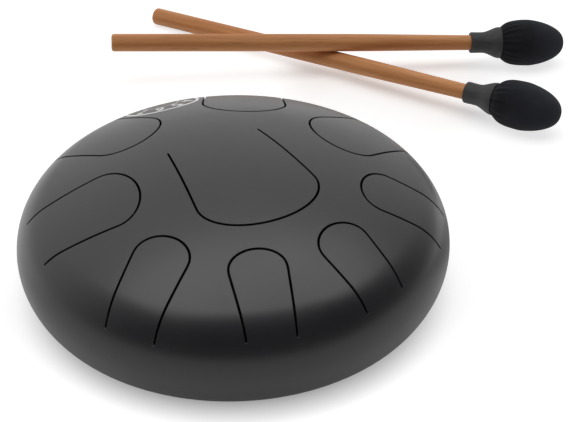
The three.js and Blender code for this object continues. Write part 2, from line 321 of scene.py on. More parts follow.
def attribute(tree, name, out="Vector"):
    return Wire.node(tree, "ShaderNodeAttribute", {"attribute_name": name}, out=out)


def noise(tree, place, scale, detail=2.0, roughness=0.5):
    sockets = {"Vector": place, "Scale": scale, "Detail": detail, "Roughness": roughness}
    return Wire.node(tree, "ShaderNodeTexNoise", {}, sockets)


def stick_noise(tree, across, along, detail=2.0, roughness=0.5):
    """Noise that follows a mallet, of these scales across its stick and along it."""
    scales = {0: attribute(tree, "stick_place"), 1: (across, across, along)}
    place = Wire.node(tree, "ShaderNodeVectorMath", {"operation": "MULTIPLY"}, scales)
    return noise(tree, place, 1.0, detail, roughness)


def mixed(tree, share, first, second):
    """One colour blended into another."""
    sockets = {"Factor": share, "A": first, "B": second}
    return Wire.node(tree, "ShaderNodeMix", {"data_type": "RGBA"}, sockets, out="Result")


def bump(tree, height, depth):
    """Relief of a height between 0 and 1 that is this deep, in millimetres."""
    return Wire.node(tree, "ShaderNodeBump", {}, {"Distance": depth * MM, "Height": height})


def powder_coat():
    """Satin charcoal powder coat: a fine orange peel, faint hand marks and thinner coat on cut edges."""
    made, tree = new_material("powder_coat")
    place = object_place(tree)
    peel = noise(tree, place, 420.0, 1.0) * 0.7 + noise(tree, place, 1700.0, 1.0) * 0.3
    marks = noise(tree, place, 26.0, 4.0, 0.6).smooth(0.35, 0.75)
    cut = attribute(tree, "cut_edge", "Fac") * noise(tree, place, 90.0, 3.0).smooth(0.42, 0.62)
    colour = mixed(tree, marks, (0.0140, 0.0140, 0.0172, 1), (0.0165, 0.0165, 0.0200, 1))
    colour = mixed(tree, cut * 0.5, colour, (0.06, 0.06, 0.062, 1))
    return finish_material(made, {
        "Base Color": colour,
        "Roughness": 0.37 + 0.05 * marks - 0.05 * cut,
        "Specular IOR Level": 0.6,
        "Coat Weight": 0.2,
        "Coat Roughness": 0.25,
        "Normal": bump(tree, peel, 0.012),
    })


def print_white():
    """White screen print, slightly uneven."""
    made, tree = new_material("print_white")
    grain = noise(tree, object_place(tree), 900.0, 3.0)
    colour = mixed(tree, grain, (0.80, 0.80, 0.79, 1), (0.88, 0.88, 0.87, 1))
    return finish_material(made, {"Base Color": colour, "Roughness": 0.45 + 0.2 * grain})


def foot_rubber():
    """Black moulded rubber with a little dust."""
    made, tree = new_material("foot_rubber")
    place = object_place(tree)
    grain = noise(tree, place, 1500.0, 3.0)
    dust = noise(tree, place, 160.0, 4.0).smooth(0.45, 0.75)
    return finish_material(made, {
        "Base Color": mixed(tree, dust, grey(0.012), (0.028, 0.027, 0.026, 1)),
        "Roughness": 0.72 + 0.16 * dust,
        "Normal": bump(tree, grain, 0.04),
    })


def stained_wood():
    """Brown stained hardwood: long straight fibres, darker pores and a thin satin lacquer."""
    made, tree = new_material("stained_wood")
    bands = stick_noise(tree, 230.0, 7.0, 3.0, 0.55).smooth(0.3, 0.7)
    fibres = stick_noise(tree, 1500.0, 26.0, 3.0, 0.6)
    pores = stick_noise(tree, 3200.0, 110.0, 1.0).smooth(0.62, 0.74)
    blotch = stick_noise(tree, 60.0, 16.0).smooth(0.5, 0.8)
    colour = mixed(tree, bands, (0.560, 0.226, 0.078, 1), (0.740, 0.345, 0.140, 1))
    colour = mixed(tree, fibres.smooth(0.35, 0.75) * 0.35, colour, (0.460, 0.178, 0.058, 1))
    colour = mixed(tree, pores * 0.55, colour, (0.240, 0.085, 0.028, 1))
    colour = mixed(tree, blotch * 0.25, colour, (0.790, 0.390, 0.165, 1))
    return finish_material(made, {
        "Base Color": colour,
        "Roughness": 0.40 + 0.16 * fibres,
        "Specular IOR Level": 0.25,
        "Normal": bump(tree, fibres * 0.6 + pores * -0.4, 0.05),
    })


def sleeve_rubber():
    """Dark grey shrunk rubber, matte, with fine lengthwise creases."""
    made, tree = new_material("sleeve_rubber")
    creases = stick_noise(tree, 520.0, 150.0, 3.0)
    grain = stick_noise(tree, 2600.0, 2600.0)
    colour = mixed(tree, creases.smooth(0.35, 0.7), (0.037, 0.037, 0.038, 1), (0.050, 0.050, 0.051, 1))
    return finish_material(made, {
        "Base Color": colour,
        "Roughness": 0.56 + 0.18 * grain,
        "Normal": bump(tree, creases * 0.8 + grain * 0.2, 0.18),
    })


def head_fabric():
    """Black knitted cloth: rows of small loops, a faint nap, painted shade in the folds, and a paler nose
    that is partly worn and partly painted light and shade.
    """
    made, tree = new_material("head_fabric")
    wales, courses, loop_lean = 150.0, 84.0, 0.45
    wear_share, nose_wear_and_light_share, fold_shade_share = 0.2, 0.6, 0.9
    cloth = Wire.node(tree, "ShaderNodeUVMap", {"uv_map": "UVMap"})
    across = Wire.node(tree, "ShaderNodeSeparateXYZ", {}, {"Vector": cloth}, out="X")
    along = across.other("Y")
    rib_turn = across * (2 * math.pi * wales)
    rib = rib_turn.math("COSINE") * 0.5 + 0.5
    lean = rib_turn.math("SINE").math("ABSOLUTE") * loop_lean
    row = ((along * courses + lean) * (2 * math.pi)).math("COSINE") * 0.5 + 0.5
    knit = rib * 0.55 + row * 0.45
    fuzz = noise(tree, object_place(tree), 2400.0, 3.0, 0.65)
    wear = noise(tree, object_place(tree), 70.0, 3.0).smooth(0.4, 0.75)
    # paler towards the nose: partly wear where it strikes, partly painted light on the nose and painted shade
    # by the collar
    nose_wear_and_light = along.smooth(0.1, 0.95)  # towards the nose
    fold = attribute(tree, "fold", "Fac")
    colour = mixed(tree, knit, (0.0046, 0.0049, 0.0068, 1), (0.0120, 0.0128, 0.0172, 1))
    colour = mixed(tree, wear * wear_share + nose_wear_and_light * nose_wear_and_light_share, colour, (0.0500, 0.0526, 0.0660, 1))
    # painted shade: the cloth darkens in the valleys of its gathers
    colour = mixed(tree, fold * fold_shade_share, colour, (0.0010, 0.0010, 0.0014, 1))
    return finish_material(made, {
        "Base Color": colour,
        "Roughness": 0.82 + 0.14 * fuzz,
        "Specular IOR Level": 0.2,
        "Sheen Weight": 0.06,
        "Sheen Roughness": 0.45,
        "Normal": bump(tree, knit * 0.75 + fuzz * 0.25, 0.22),
    })


def core_rubber():
    """Brown-black sponge rubber."""
    made, tree = new_material("core_rubber")
    pores = noise(tree, object_place(tree), 1400.0, 3.0)
    return finish_material(made, {
        "Base Color": mixed(tree, pores, (0.022, 0.018, 0.015, 1), (0.04, 0.034, 0.028, 1)),
        "Roughness": 0.75 + 0.2 * pores,
        "Normal": bump(tree, pores, 0.08),
    })


def binding_thread():
    """Black waxed thread."""
    made, tree = new_material("binding_thread")
    strand = noise(tree, object_place(tree), 3500.0)
    return finish_material(made, {
        "Base Color": mixed(tree, strand, grey(0.006), (0.02, 0.02, 0.021, 1)),
        "Roughness": 0.6 + 0.3 * strand,
        "Normal": bump(tree, strand, 0.05),
    })


COAT = powder_coat()
PRINT = print_white()
FOOT_RUBBER = foot_rubber()
WOOD = stained_wood()
SLEEVE_RUBBER = sleeve_rubber()
FABRIC = head_fabric()
CORE_RUBBER = core_rubber()
THREAD = binding_thread()


def link_piece(name, mesh, material, body, replaced=()):
    """Puts a finished mesh into the scene as a piece that rides on a body."""
    mesh.materials.clear()
    mesh.materials.append(material)
    piece = linked(name, mesh)
    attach(piece, body)
    if replaced:
        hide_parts(*replaced)
    return piece


def drum_points(points):
    """Millimetres from the drum's axis to metres in the frame."""
    return np.asarray(points) * MM + np.array([DRUM_AXIS[0], DRUM_AXIS[1], 0.0])


def circle(count):
    """Evenly spaced headings, anticlockwise from +X."""
    turn = np.linspace(0, 2 * math.pi, count, endpoint=False)
    return np.column_stack([np.cos(turn), np.sin(turn)])


def arc_stretch(centre_radius, centre_height, radius, start, end):
    """Radius, height and outward normal along an arc. Angles run from straight up to the outside."""
    turn = np.linspace(start, end, ARC_POINTS)
    out, up = np.sin(turn), np.cos(turn)
    return np.stack([centre_radius + radius * out, centre_height + radius * up, out, up])


def flat_stretch(start, end, height, up):
    """The same along a level line."""
    radius = np.linspace(start, end, FLAT_POINTS)
    return np.stack(np.broadcast_arrays(radius, height, 0.0, up))


class Sheet:
    """A round pressed sheet: its outer face is a profile turned about the drum's axis.

    A place on it is a point of the flat blank: its distance from the middle is a length along the profile.
    """

    def __init__(self, *stretches):
        self.radius, self.height, self.out, self.up = np.hstack(stretches)
        steps = np.hypot(np.diff(self.radius), np.diff(self.height))
        self.length = np.concatenate([[0.0], np.cumsum(steps)])

    def blank(self, plan):
        """Points seen from above, laid out on the blank."""
        radius = np.hypot(plan[:, 0], plan[:, 1])
        share = np.interp(radius, self.radius, self.length) / np.maximum(radius, TINY)
        return plan * share[:, None]

    def at(self, blank, depth=0.0):
        """Places in the room at points of the blank, sunk along the normal, and the normals there."""
        length = np.hypot(blank[:, 0], blank[:, 1])
        heading = blank / np.maximum(length, TINY)[:, None]
        radius, height, out, up = (
            np.interp(length, self.length, row) for row in (self.radius, self.height, self.out, self.up)
        )
        normal = np.column_stack([heading * out[:, None], up])
        normal /= np.linalg.norm(normal, axis=1)[:, None]
        return np.column_stack([heading * radius[:, None], height]) - depth * normal, normal


def resampled(line, step):
    """The same line with evenly spaced points."""
    run = np.concatenate([[0.0], np.cumsum(np.hypot(*np.diff(line, axis=0).T))])
    places = np.linspace(0, run[-1], max(2, round(run[-1] / step)) + 1)
    return np.column_stack([np.interp(places, run, line[:, k]) for k in (0, 1)])


def slot_line(bearing, tip, root, tip_width, root_width, tip_round, lean):
    """Middle of a tongue's slot seen from above: up one side, round the tip and back to the root."""
    tip_points, fine_step, easing_rounds = 61, SLOT_STEP / 2, 12
    turn = np.linspace(-math.pi / 2, math.pi / 2, tip_points)
    round_tip = np.column_stack([tip + tip_round * (1 - np.cos(turn)), tip_width / 2 * np.sin(turn)])
    line = np.vstack([[root, lean - root_width / 2], round_tip, [root, lean + root_width / 2]])
    line = resampled(line, fine_step)
    for _ in range(easing_rounds):  # eases the bend where the tip meets the sides
        line[1:-1] = (line[:-2] + 2 * line[1:-1] + line[2:]) / 4
    line = resampled(line, SLOT_STEP)
    angle = math.radians(bearing + FRONT_BEARING)
    along, side = np.array([math.cos(angle), math.sin(angle)]), np.array([-math.sin(angle), math.cos(angle)])
    return line[:, :1] * along + line[:, 1:] * side


def band_outline(line, half):
    """Outline of a line drawn with a round tip, running clockwise."""
    end_points = 9
    along = np.gradient(line, axis=0)
    along /= np.hypot(*along.T)[:, None]
    side = np.column_stack([-along[:, 1], along[:, 0]])
    turn = np.linspace(0, math.pi, end_points)[1:-1, None]
    end = line[-1] + half * (np.cos(turn) * side[-1] + np.sin(turn) * along[-1])
    start = line[0] - half * (np.cos(turn) * side[0] + np.sin(turn) * along[0])
    return np.vstack([line + half * side, end, (line - half * side)[::-1], start])


def slot_hole(line):
    """Outline of a slot as a function of how far it is widened past its walls."""
    return lambda margin: band_outline(line, SLOT_WIDTH / 2 + margin)


def round_hole(centre, radius, count):
    """The same for a round hole."""
    heading = circle(count) * (1, -1)
    return lambda margin: np.asarray(centre) + (radius + margin) * heading


def tongue_holes():
    holes = []
    for bearing, inset, length, tip_width, root_width, *shape in OUTER_TONGUES:
        root = DRUM_RADIUS - inset
        root_along = math.sqrt(root**2 - (root_width / 2) ** 2)
        holes.append(slot_hole(slot_line(bearing, root - length, root_along, tip_width, root_width, *shape)))
    bearing, tip_in_front, *shape = CENTRE_TONGUE
    holes.append(slot_hole(slot_line(bearing, -tip_in_front, *shape)))
    return holes


def foot_bearings():
    return [2 * math.pi * (i + 0.5) / FOOT_COUNT + math.radians(FRONT_BEARING) for i in range(FOOT_COUNT)]


def base_holes():
    holes = [round_hole((0, 0), PORT_RADIUS, PORT_POINTS)]
    for bearing in foot_bearings():
        centre = (FOOT_CIRCLE * math.cos(bearing), FOOT_CIRCLE * math.sin(bearing))
        holes.append(round_hole(centre, FOOT_STEM + CLEARANCE, STEM_HOLE_POINTS))
    return holes


def even_lattice(reach, spacing, edges):
    """Points of a triangle lattice inside a circle, clear of these edges."""
    tree = KDTree(len(edges))
    for i, (x, y) in enumerate(edges):
        tree.insert((x, y, 0), i)
    tree.balance()
    row_height = math.sqrt(0.75)
    last = math.ceil(reach / spacing * 1.2)  # rows lie closer than columns, so more of them are needed
    rows = range(-last, last + 1)
    lattice = [
        ((column + 0.5 * (row % 2)) * spacing, row * spacing * row_height) for row in rows for column in rows
    ]
    return np.array([
        place for place in lattice
        if math.hypot(*place) < reach and tree.find((*place, 0))[2] > EDGE_GAP * spacing
    ])


def cut_blank(sheet, holes, spacing):
    """The flat blank as points and triangles, and the rows of points round its rim and round each hole."""
    reach = sheet.length[-1]
    edges = [reach * circle(RIM_POINTS)] + [sheet.blank(outline(SLOT_EDGE)) for outline in holes]
    ends = np.cumsum([len(edge) for edge in edges])
    rows = [np.arange(end - len(edge), end) for edge, end in zip(edges, ends)]
    edges = np.vstack(edges)
    points = np.vstack([edges, even_lattice(reach, spacing, edges)])
    hole_faces = [row[::-1].tolist() for row in rows[1:]]
    found = delaunay_2d_cdt([Vector(p) for p in points], [], hole_faces, 0, SHEET_MERGE, True)
    _, _, found_faces, from_points, _, from_faces = found
    source = np.array([ids[0] for ids in from_points])
    triangles = source[np.array([f for f, ids in zip(found_faces, from_faces) if not ids])]
    used = np.unique(triangles)
    number = np.full(len(points), -1)
    number[used] = np.arange(len(used))
    return points[used], number[triangles], [number[row] for row in rows]


def strip(first, second, first_normals, second_normals):
    """Quads between two closed rows of points that run clockwise, with their corner normals."""
    after = np.roll(np.arange(len(first)), -1)
    faces = np.column_stack([first, second, second[after], first[after]])
    normals = np.stack([first_normals, second_normals, second_normals[after], first_normals[after]], axis=1)
    return faces, normals


def shell_mesh(name, sheet, holes, spacing, faces_up):
    """A pressed sheet of even wall with holes whose outer edges are softly rounded by the coat."""
    blank, triangles, (ring, *loops) = cut_blank(sheet, holes, spacing)
    total = len(blank)
    outer, normal = sheet.at(blank)
    points, cut_edge = [outer, outer - WALL * normal], [np.zeros(2 * total)]

    def add_row(places, worn):
        start = sum(len(group) for group in points)
        points.append(places)
        cut_edge.append(np.full(len(places), worn))
        return np.arange(start, start + len(places))

    back = triangles[:, ::-1]
    rim = np.column_stack([ring, ring + total, np.roll(ring, -1) + total, np.roll(ring, -1)])
    rim_normal = [0.0, 0.0, -1.0 if faces_up else 1.0]
    groups = [  # faces with the normals of their corners
        (triangles, normal[triangles]),
        (back + total, -normal[back]),
        (rim, np.tile(rim_normal, (len(rim), 4, 1))),
    ]
    for outline, loop in zip(holes, loops):
        wall, wall_normal = sheet.at(sheet.blank(outline(0.0)))
        inward = wall - outer[loop]
        inward -= (inward * wall_normal).sum(1)[:, None] * wall_normal
        inward /= np.linalg.norm(inward, axis=1)[:, None]
        row, row_normal = loop, normal[loop]
        for tilt in SLOT_EDGE_TILTS:
            out, down = math.sin(math.radians(tilt)), math.cos(math.radians(tilt))
            place, up = sheet.at(sheet.blank(outline(SLOT_EDGE * (1 - out))), SLOT_EDGE * (1 - down))
            next_row, next_normal = add_row(place, 1.0), down * up + out * inward
            groups.append(strip(row, next_row, row_normal, next_normal))
            row, row_normal = next_row, next_normal
        foot = add_row(wall - WALL * wall_normal, 0.0)
        groups.append(strip(row, foot, inward, inward))
        groups.append(strip(foot, loop + total, -wall_normal, -normal[loop]))

    faces, corner_normals = [], []
    for group, normals in groups:
        if not faces_up:
            group, normals = group[:, ::-1], normals[:, ::-1]
        faces += group.tolist()
        corner_normals.append(normals.reshape(-1, 3))
    mesh = bpy.data.meshes.new(name)
    mesh.from_pydata(drum_points(np.vstack(points)).tolist(), [], faces)
    mesh.polygons.foreach_set("use_smooth", np.ones(len(faces), bool))
    mesh.normals_split_custom_set(np.vstack(corner_normals).tolist())
    worn = mesh.attributes.new("cut_edge", "FLOAT", "POINT")
    worn.data.foreach_set("value", np.concatenate(cut_edge))
    return mesh


DOME_SHEET = Sheet(
    arc_stretch(0, CROWN - CAP_RADIUS, CAP_RADIUS, 0, CAP_ANGLE),
    arc_stretch(SIDE_CENTRE, SEAM, SIDE_RADIUS, CAP_ANGLE, RIM_ANGLE)[:, 1:],
)
DISH_SHEET = Sheet(
    flat_stretch(0, SIDE_CENTRE + FILLET_REACH, FOOT_HEIGHT, -1.0),
    arc_stretch(SIDE_CENTRE + FILLET_REACH, FILLET_HEIGHT, BASE_FILLET, math.pi, FILLET_ANGLE)[:, 1:],
    arc_stretch(SIDE_CENTRE, SEAM, SIDE_RADIUS, FILLET_ANGLE, math.pi - RIM_ANGLE)[:, 1:],
)

link_piece("dome", shell_mesh("dome", DOME_SHEET, tongue_holes(), DOME_SPACING, True), COAT,
           "drum", ["upper_shell"])
link_piece("dish", shell_mesh("dish", DISH_SHEET, base_holes(), DISH_SPACING, False), COAT,
           "drum", ["lower_shell"])


def turned_mesh(name, profile, segments, closed=False, ripple=None):
    """A profile of (radius, station) turned about +Z, in metres, with its faces pointing out.

    The local place of each point is kept for the pattern. ripple moves a radius by bearing and station.
    """
    made = bmesh.new()
    rows = []
    for radius, station in profile:
        if radius < TINY:
            rows.append([made.verts.new((0, 0, station * MM))] * segments)
            continue
        row = []
        for k in range(segments):
            angle = 2 * math.pi * k / segments
            r = (radius + (ripple(angle, station, radius) if ripple else 0.0)) * MM
            row.append(made.verts.new((r * math.cos(angle), r * math.sin(angle), station * MM)))
        rows.append(row)
    pairs = list(zip(rows, rows[1:])) + ([(rows[-1], rows[0])] if closed else [])
    for low, high in pairs:
        for k in range(segments):
            n = (k + 1) % segments
            corners = list(dict.fromkeys((low[k], low[n], high[n], high[k])))
            if len(corners) > 2:
                made.faces.new(corners)
    bmesh.ops.recalc_face_normals(made, faces=made.faces)
    mesh = bpy.data.meshes.new(name)
    made.to_mesh(mesh)
    made.free()
    mesh.polygons.foreach_set("use_smooth", np.ones(len(mesh.polygons), bool))
    mesh.set_sharp_from_angle(angle=math.radians(SHARP_ANGLE))
    places = np.zeros(len(mesh.vertices) * 3, np.float32)
    mesh.vertices.foreach_get("co", places)
    kept = mesh.attributes.new("stick_place", "FLOAT_VECTOR", "POINT")
    kept.data.foreach_set("vector", places)
    return mesh


def arc_points(centre_radius, centre, radius, start, end, steps):
    """Points of a profile along an arc, in degrees from straight up to the outside."""
    turns = np.radians(np.linspace(start, end, steps + 1))
    return [(centre_radius + radius * math.sin(t), centre + radius * math.cos(t)) for t in turns]


def weld_mesh():
    """The weld ground flush with the side, between the two rims."""
    rim = math.degrees(RIM_ANGLE)
    inner_low = SEAM - WELD_WIDTH / 2 * (1 - WALL / SIDE_RADIUS)
    inner_high = 2 * SEAM - inner_low
    inner_radius = SIDE_CENTRE + (SIDE_RADIUS - WALL) * math.sin(RIM_ANGLE)
    profile = arc_points(SIDE_CENTRE, SEAM, SIDE_RADIUS, rim, 180 - rim, 6)
    profile += [(inner_radius, inner_low), (inner_radius, inner_high)]
    mesh = turned_mesh("seam_bead", profile, RIM_POINTS, closed=True)
    mesh.transform(Matrix.Translation((*DRUM_AXIS, 0)))
    return mesh


link_piece("seam_bead", weld_mesh(), COAT, "drum", ["seam_weld"])


def geometry_tree(name, inputs):
    """An empty Geometry Nodes tree with these named inputs. Gives the tree, its input wires and a closer."""
    tree = bpy.data.node_groups.new(name, "GeometryNodeTree")
    tree.interface.new_socket("Geometry", in_out="OUTPUT", socket_type="NodeSocketGeometry")
    for label, kind in inputs:
        tree.interface.new_socket(label, in_out="INPUT", socket_type="NodeSocket" + kind)
    entry = tree.nodes.new("NodeGroupInput")
    wires = {label: Wire(entry.outputs[label]) for label, _ in inputs}

    def close(geometry, material):
        whole = Wire.node(tree, "GeometryNodeRealizeInstances", {}, {"Geometry": geometry})
        painted = Wire.node(tree, "GeometryNodeSetMaterial", {}, {"Geometry": whole, "Material": material})
        Wire.node(tree, "NodeGroupOutput", {}, {"Geometry": painted})

    return tree, wires, close


def add_wall(holder, thickness, offset):
    """Gives a sheet its thickness, inwards at an offset of -1 and outwards at 1."""
    wall = holder.modifiers.new("wall", "SOLIDIFY")
    wall.thickness, wall.offset = thickness * MM, offset


def plain_mesh(name, holder):
    """What a holder's modifiers make, as a plain mesh. The holder goes."""
    seen = bpy.context.evaluated_depsgraph_get()
    mesh = bpy.data.meshes.new_from_object(holder.evaluated_get(seen), depsgraph=seen)
    mesh.name = name
    bpy.data.objects.remove(holder)
    return mesh


def grown_mesh(name, tree, values, wall=0.0):
    """Runs a tree with these input values, and gives the result an inner wall where it needs one."""
    holder = linked(name + "_holder", bpy.data.meshes.new(name + "_holder"))
    modifier = holder.modifiers.new("tree", "NODES")
    modifier.node_group = tree
    for socket in tree.interface.items_tree:
        if socket.in_out == "INPUT":
            modifier[socket.identifier] = values[socket.name]
    if wall:
        add_wall(holder, wall, -1.0)
    return plain_mesh(name, holder)


def foot_ring_tree():
    """One bumper set out on a circle."""
    tree, wires, close = geometry_tree("foot_ring", [
        ("Bumper", "Object"), ("Count", "Int"), ("Circle radius", "Float"), ("First bearing", "Float"),
        ("Rubber", "Material"),
    ])
    bumper = Wire.node(tree, "GeometryNodeObjectInfo", {}, {"Object": wires["Bumper"]}, out="Geometry")
    places = Wire.node(tree, "GeometryNodeMeshCircle", {},
                       {"Vertices": wires["Count"], "Radius": wires["Circle radius"]})
    turn = Wire.node(tree, "ShaderNodeCombineXYZ", {}, {"Z": wires["First bearing"]})
    places = Wire.node(tree, "GeometryNodeTransform", {}, {"Geometry": places, "Rotation": turn})
    feet = Wire.node(tree, "GeometryNodeInstanceOnPoints", {}, {"Points": places, "Instance": bumper})
    close(feet, wires["Rubber"])
    return tree


def feet_mesh():
    """The bumpers: a dished sole, a side that leans out, a flat top and a stem with a barb on it."""
    seat = FOOT_HEIGHT + WALL + CLEARANCE / 2
    top = FOOT_HEIGHT - CLEARANCE / 10
    tip = seat + FOOT_BARB_HEIGHT - FOOT_TIP_INSET
    profile = [(0, FOOT_DISH), (FOOT_SOLE - FOOT_DISH_INNER, FOOT_DISH), (FOOT_SOLE - FOOT_DISH_OUTER, 0.0)]
    profile += arc_points(FOOT_SOLE - FOOT_EDGE, FOOT_EDGE, FOOT_EDGE, 180, 96, 6)
    profile += arc_points(FOOT_TOP - FOOT_TOP_ROUND, top - FOOT_TOP_ROUND, FOOT_TOP_ROUND, 82, 0, 4)
    profile += [(FOOT_STEM, top), (FOOT_STEM, seat), (FOOT_BARB, seat)]
    profile += [(FOOT_STEM, tip - FOOT_TIP_INSET), (FOOT_STEM - FOOT_TIP_TAPER, tip), (0, tip)]
    bumper = linked("bumper", turned_mesh("bumper", profile, SHORT_SEGMENTS))
    mesh = grown_mesh("feet", foot_ring_tree(), {
        "Bumper": bumper, "Count": FOOT_COUNT, "Circle radius": FOOT_CIRCLE * MM,
        "First bearing": foot_bearings()[0], "Rubber": FOOT_RUBBER,
    })
    bpy.data.objects.remove(bumper)
    mesh.transform(Matrix.Translation((*DRUM_AXIS, 0)))
    return mesh


link_piece("feet", feet_mesh(), FOOT_RUBBER, "drum",
           [f"foot_{i + 1}" for i in range(FOOT_COUNT)])


def gathered_cover_tree():
    """A fabric bag over an egg: its outline by formula, drawn in by uneven gathers behind the belly.

    The gathers are kept as an attribute, for the painted shade in the cloth's folds.
    """
    tree, wires, close = geometry_tree("gathered_cover", [
        ("Head radius", "Float"), ("Nose length", "Float"), ("Nose taper", "Float"),
        ("Nose bluntness", "Float"), ("Crown length", "Float"), ("Crown taper", "Float"),
        ("Neck radius", "Float"), ("Tail length", "Float"),
        ("Gathers", "Int"), ("Gather depth", "Float"), ("Gather start", "Float"), ("Gather fade", "Float"),
        ("Slack", "Float"), ("Seed", "Float"), ("Fabric", "Material"),
    ])
    around_points, along_points = 265, 121
    tail_share, belly_share = 0.06, 0.42  # of the cloth's length
    pressed, lip_share = 0.3, 0.14  # how deep gathers are at the collar's lip, and where that ends
    wander_span, fade_power, least_length = 5.0, 1.3, 0.15
    grid = Wire.node(tree, "GeometryNodeMeshGrid", {}, {
        "Size X": 1.0, "Size Y": 1.0, "Vertices X": around_points, "Vertices Y": along_points,
    }, out="Mesh")
    laid = Wire.node(tree, "GeometryNodeStoreNamedAttribute", {"data_type": "FLOAT2", "domain": "CORNER"}, {
        "Geometry": grid, "Name": "UVMap", "Value": grid.other("UV Map"),
    })
    across = Wire.node(tree, "ShaderNodeSeparateXYZ", {},
                       {"Vector": Wire.node(tree, "GeometryNodeInputPosition")}, out="X")
    bearing = (across + 0.5) * (2 * math.pi)
    around = (bearing.math("COSINE"), bearing.math("SINE"))
    along = across.other("Y") + 0.5
    past_tail = (along - tail_share) / (belly_share - tail_share)
    back = 1 - past_tail.math("MINIMUM", 1.0).math("MAXIMUM", 0.0)
    ahead = ((along - belly_share) / (1 - belly_share)).math("MAXIMUM", 0.0)
    neck_turn = (wires["Neck radius"] / wires["Head radius"]).math("ARCCOSINE")
    crown_turn = neck_turn * back * back
    nose_turn = ahead * (math.pi / 2)
    radius = wires["Head radius"] * crown_turn.math("COSINE")
    radius = radius * nose_turn.math("COSINE").math("MAXIMUM", 0.0) ** wires["Nose bluntness"]
    tail = 1 - (along / tail_share).math("MINIMUM", 1.0)
    station = wires["Nose length"] * nose_turn.math("SINE") ** wires["Nose taper"]
    station = station - wires["Crown length"] * crown_turn.math("SINE") ** wires["Crown taper"]
    station = station - wires["Tail length"] * tail

    def cloth_noise(scale, run, offset):
        """Noise that closes round the head, of these scales round it and along it."""
        place = Wire.node(tree, "ShaderNodeCombineXYZ", {}, {
            "X": around[0] * scale, "Y": around[1] * scale, "Z": along * run + wires["Seed"] + offset,
        })
        return noise(tree, place, 1.0, 1.0)

    past_sleeve = (station - wires["Gather start"]) / wires["Gather fade"]
    freed = pressed + (1 - pressed) * past_sleeve.smooth(0.0, lip_share)
    held = (1 - past_sleeve.smooth(0.0, 1.0)) * freed
    wander = (cloth_noise(2.2, 1.2, 0.0) - 0.5) * wander_span
    fold = (bearing * wires["Gathers"] + wander).math("COSINE") * 0.5 + 0.5
    length_share = cloth_noise(4.0, 0.0, 7.0) * 1.5 - 0.1
    gathered = fold * held ** fade_power * length_share.math("MAXIMUM", least_length)
    slack = wires["Slack"] * (0.8 - cloth_noise(1.3, 3.0, 13.0)).math("MAXIMUM", 0.0)
    sunk = wires["Gather depth"] * gathered
    radius = radius - sunk - slack * radius / wires["Head radius"] * (1 - tail)
    place = Wire.node(tree, "ShaderNodeCombineXYZ", {},
                      {"X": radius * around[0], "Y": radius * around[1], "Z": station})
    # kept for the cloth's painted shade in its folds
    laid = Wire.node(tree, "GeometryNodeStoreNamedAttribute", {"data_type": "FLOAT", "domain": "POINT"},
                     {"Geometry": laid, "Name": "fold", "Value": gathered})
    bag = Wire.node(tree, "GeometryNodeSetPosition", {}, {"Geometry": laid, "Position": place})
    bag = Wire.node(tree, "GeometryNodeMergeByDistance", {}, {"Geometry": bag, "Distance": COVER_MERGE * MM})
    bag = Wire.node(tree, "GeometryNodeSetShadeSmooth", {}, {"Geometry": bag, "Shade Smooth": True})
    close(bag, wires["Fabric"])
    return tree


def thread_tree():
    """A thread wound round and round the fabric's tail."""
    tree, wires, close = geometry_tree("thread", [
        ("Turns", "Float"), ("Radius", "Float"), ("Length", "Float"), ("Thickness", "Float"),
        ("Thread", "Material"),
    ])
    points_a_turn, points_across = 32, 8
    path = Wire.node(tree, "GeometryNodeCurveSpiral", {}, {
        "Resolution": points_a_turn, "Rotations": wires["Turns"], "Start Radius": wires["Radius"],
        "End Radius": wires["Radius"], "Height": wires["Length"],
    })
    section = Wire.node(tree, "GeometryNodeCurvePrimitiveCircle", {},
                        {"Resolution": points_across, "Radius": wires["Thickness"] * 0.5})
    wound = Wire.node(tree, "GeometryNodeCurveToMesh", {},
                      {"Curve": path, "Profile Curve": section, "Fill Caps": True})
    close(wound, wires["Thread"])
    return tree


COVER_TREE = gathered_cover_tree()
THREAD_TREE = thread_tree()


def stick_mesh(name):
    """A round butt, an even shaft that tapers to the collar, and the tenon."""
    profile = [(0, 0)]
    profile += arc_points(BUTT_RADIUS - BUTT_ROUND, BUTT_ROUND, BUTT_ROUND, 180, 90, 10)
    profile += [(BUTT_RADIUS, s) for s in np.linspace(BUTT_ROUND, TAPER_START, 24)[1:]]
    for share in np.linspace(0, 1, 16)[1:]:
        eased = share * share * (3 - 2 * share)
        profile.append((BUTT_RADIUS + (NECK_RADIUS - BUTT_RADIUS) * (0.5 * share + 0.5 * eased),
                        TAPER_START + (SLEEVE_START - TAPER_START) * share))
    profile += [(NECK_RADIUS, TENON_START), (TENON_RADIUS, TENON_START)]
    profile += [(TENON_RADIUS, TENON_END - TENON_CHAMFER), (TENON_RADIUS - TENON_CHAMFER, TENON_END)]
    return turned_mesh(name, profile + [(0, TENON_END)], LONG_SEGMENTS)


